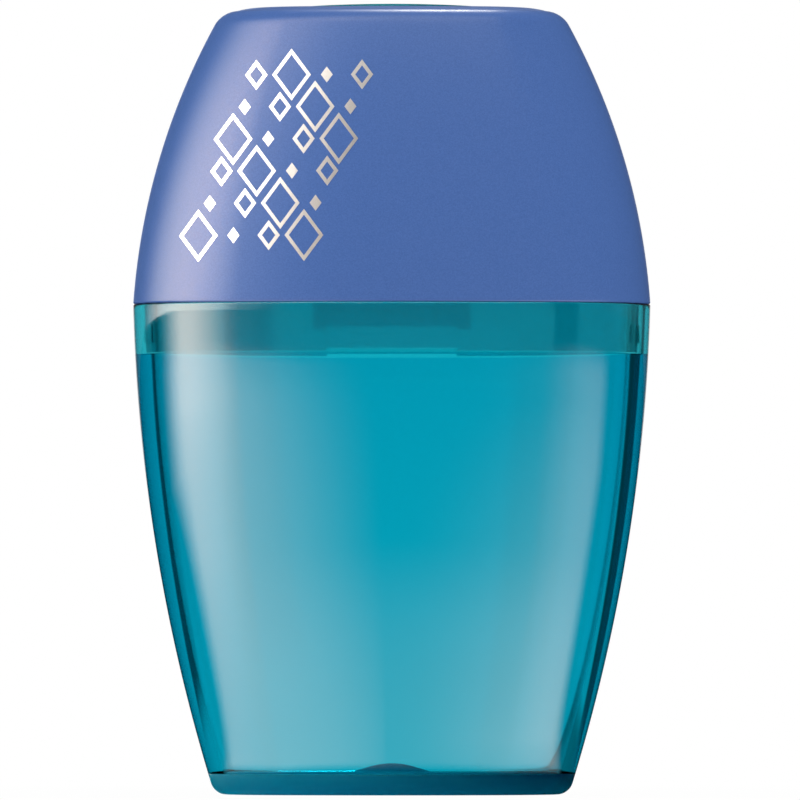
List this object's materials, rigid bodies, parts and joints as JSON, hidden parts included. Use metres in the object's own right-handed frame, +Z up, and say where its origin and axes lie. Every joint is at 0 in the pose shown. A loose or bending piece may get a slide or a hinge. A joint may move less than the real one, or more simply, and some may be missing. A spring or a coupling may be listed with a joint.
{
  "type": "canister pencil sharpener",
  "caption": "Hand-held oval canister pencil sharpener: pearl cap over a clear frame with a wedge sharpener, on a clear lift-off shavings receptacle.",
  "frame": {"origin": "centre of the base, on the surface that it stands on", "axes": "+Z up, along the pencil's path and the cap's lift; +X across the width; the printed front faces -Y"},
  "size_m": [0.0518, 0.0326, 0.0789],
  "materials": {
    "clear_receptacle": "clear turquoise styrene, glossy",
    "pearl_cap": "opaque pearl blue, satin, with a silver foil print",
    "clear_frame": "clear turquoise styrene, glossy",
    "block_alloy": "extruded light alloy, milled",
    "blade_steel": "ground and hardened",
    "screw_steel": "zinc plated"
  },
  "bodies": {
    "receptacle": {"receptacle": "clear_receptacle"},
    "head": {"cap_shell": "pearl_cap", "inner_frame": "clear_frame", "sharpener_block": "block_alloy", "sharpener_blade": "blade_steel", "blade_screw": "screw_steel"}
  },
  "joints": [
    {"name": "head_lift", "type": "slide", "parent": "receptacle", "child": "head", "axis": [0, 0, 1], "range_m": [0, 0.03]}
  ]
}
